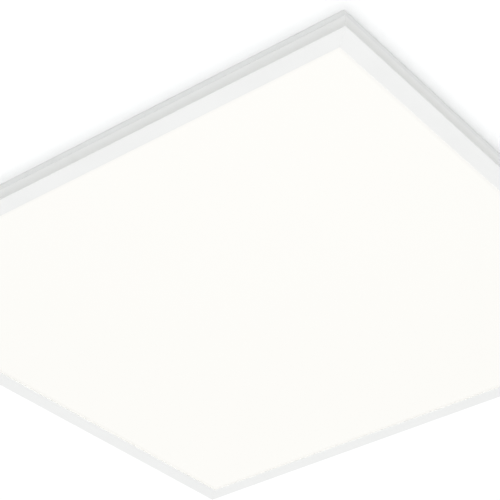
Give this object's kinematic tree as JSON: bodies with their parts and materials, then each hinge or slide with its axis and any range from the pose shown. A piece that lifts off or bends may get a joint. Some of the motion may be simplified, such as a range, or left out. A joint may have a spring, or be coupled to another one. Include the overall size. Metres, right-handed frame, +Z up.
{
  "type": "led panel light",
  "caption": "Square surface-mounted LED ceiling panel: slim white mitred frame, opal glowing face, shallow ceiling tray that the light module swings down from on hinges.",
  "frame": {"origin": "middle of the luminous face, on the plane of the bezel (the lowest plane of the fitted panel)", "axes": "+Z up towards the ceiling, so the light leaves along -Z; +Y towards the hinged back side; +X along the hinge axis"},
  "size_m": [0.595, 0.595, 0.0175],
  "materials": {
    "acrylic": "clear acrylic with printed dots",
    "bare_aluminium": "mill finish",
    "black_rubber": "matt",
    "board_green": "green solder mask",
    "board_white": "white solder mask",
    "button_orange": "moulded",
    "capacitor_sleeve": "sleeve",
    "casing_white": "fine spark texture",
    "chip_black": "moulded epoxy",
    "coil_tape": "yellow tape",
    "connector_white": "moulded nylon",
    "copper_tin": "tinned",
    "ferrite": "matt sintered",
    "foam": "closed-cell foam",
    "frame_white": "fine satin powder coat",
    "lead_white": "cable sheath",
    "led_phosphor": "phosphor under clear resin",
    "link_red": "wire insulation",
    "opal": "opal, evenly lit",
    "reflector": "satin white film",
    "spring_steel": "bright",
    "tape": "thermal tape",
    "tray_white": "satin powder coat",
    "wire_blue": "wire insulation",
    "wire_brown": "wire insulation",
    "wire_green": "wire insulation",
    "zinc_steel": "bright zinc plate"
  },
  "bodies": {
    "tray": {"cable_grommet": "black_rubber", "catch_housing_left": "zinc_steel", "catch_housing_right": "zinc_steel", "catch_springs": "spring_steel", "ceiling_tray": "tray_white", "dc_lead_tray": "lead_white", "dc_plug": "connector_white", "dc_socket": "connector_white", "driver_base": "zinc_steel", "driver_board": "board_green", "driver_capacitors": "capacitor_sleeve", "driver_choke": "ferrite", "driver_cover": "casing_white", "driver_input_connector": "connector_white", "driver_output_connector": "connector_white", "driver_output_lead": "lead_white", "driver_semiconductors": "chip_black", "driver_transformer_coil": "coil_tape", "driver_transformer_core": "ferrite", "earth_lug": "copper_tin", "earth_nut": "zinc_steel", "earth_stud": "zinc_steel", "hinge_pins": "zinc_steel", "hinge_tray_leaf_left": "zinc_steel", "hinge_tray_leaf_right": "zinc_steel", "lead_clips": "casing_white", "terminal_body": "casing_white", "terminal_contacts": "copper_tin", "terminal_springs": "spring_steel", "tray_rivets": "zinc_steel", "wire_earth": "wire_green", "wire_live": "wire_brown", "wire_neutral": "wire_blue"},
    "light_module": {"back_plate": "bare_aluminium", "buffer_foam": "foam", "catch_strikes": "zinc_steel", "corner_keys": "zinc_steel", "dc_lead_panel": "lead_white", "diffuser": "opal", "frame_back": "frame_white", "frame_front": "frame_white", "frame_left": "frame_white", "frame_right": "frame_white", "hinge_frame_leaf_left": "zinc_steel", "hinge_frame_leaf_right": "zinc_steel", "lead_grommet": "black_rubber", "led_board_left": "board_white", "led_board_right": "board_white", "led_chips_left": "led_phosphor", "led_chips_right": "led_phosphor", "led_link_wires": "link_red", "led_tapes": "tape", "light_guide": "acrylic", "panel_screws": "zinc_steel", "reflector_sheet": "reflector"},
    "catch_plunger_left": {"catch_plunger_left": "zinc_steel"},
    "catch_plunger_right": {"catch_plunger_right": "zinc_steel"},
    "release_button_live": {"release_button_live": "button_orange"},
    "release_button_neutral": {"release_button_neutral": "button_orange"},
    "release_button_earth": {"release_button_earth": "button_orange"}
  },
  "joints": [
    {"name": "panel_hinge", "type": "hinge", "parent": "tray", "child": "light_module", "pos_m": [0, 0.2938, 0.0092], "axis": [1, 0, 0], "range_deg": [0, 90]},
    {"name": "catch_slide_left", "type": "slide", "parent": "tray", "child": "catch_plunger_left", "axis": [0, 1, 0], "range_m": [0, 0.001], "stiffness_N_per_m": 900, "deforming": ["catch_springs"]},
    {"name": "catch_slide_right", "type": "slide", "parent": "tray", "child": "catch_plunger_right", "axis": [0, 1, 0], "range_m": [0, 0.001], "stiffness_N_per_m": 900, "deforming": ["catch_springs"]},
    {"name": "release_press_live", "type": "slide", "parent": "tray", "child": "release_button_live", "axis": [0, 0, 1], "range_m": [0, 0.0008], "stiffness_N_per_m": 2500},
    {"name": "release_press_neutral", "type": "slide", "parent": "tray", "child": "release_button_neutral", "axis": [0, 0, 1], "range_m": [0, 0.0008], "stiffness_N_per_m": 2500},
    {"name": "release_press_earth", "type": "slide", "parent": "tray", "child": "release_button_earth", "axis": [0, 0, 1], "range_m": [0, 0.0008], "stiffness_N_per_m": 2500}
  ]
}
